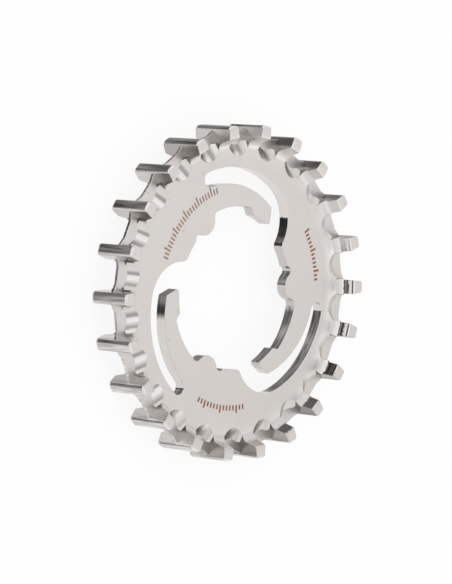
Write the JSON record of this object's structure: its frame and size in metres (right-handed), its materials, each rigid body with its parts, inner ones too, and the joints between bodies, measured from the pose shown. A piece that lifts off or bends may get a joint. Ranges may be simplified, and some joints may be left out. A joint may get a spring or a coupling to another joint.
{
  "type": "belt drive sprocket",
  "caption": "Flat rear sprocket for a centre-tracking bicycle drive belt: wide teeth joined by a thin central fin, clearing pockets, a lobed hub opening and curved slots.",
  "frame": {"origin": "on the axis of rotation, half-way across the width of the teeth, in the middle plane of the centre fin", "axes": "+Z along the axis towards the outer face of the plate, +X through the middle of a tooth, +Y a quarter turn on"},
  "size_m": [0.0756, 0.075, 0.011],
  "materials": {
    "stainless_steel": "machined stainless steel, satin on the flat faces and bright on the cut walls and teeth"
  },
  "bodies": {
    "root": {"belt_sprocket": "stainless_steel"}
  },
  "joints": []
}
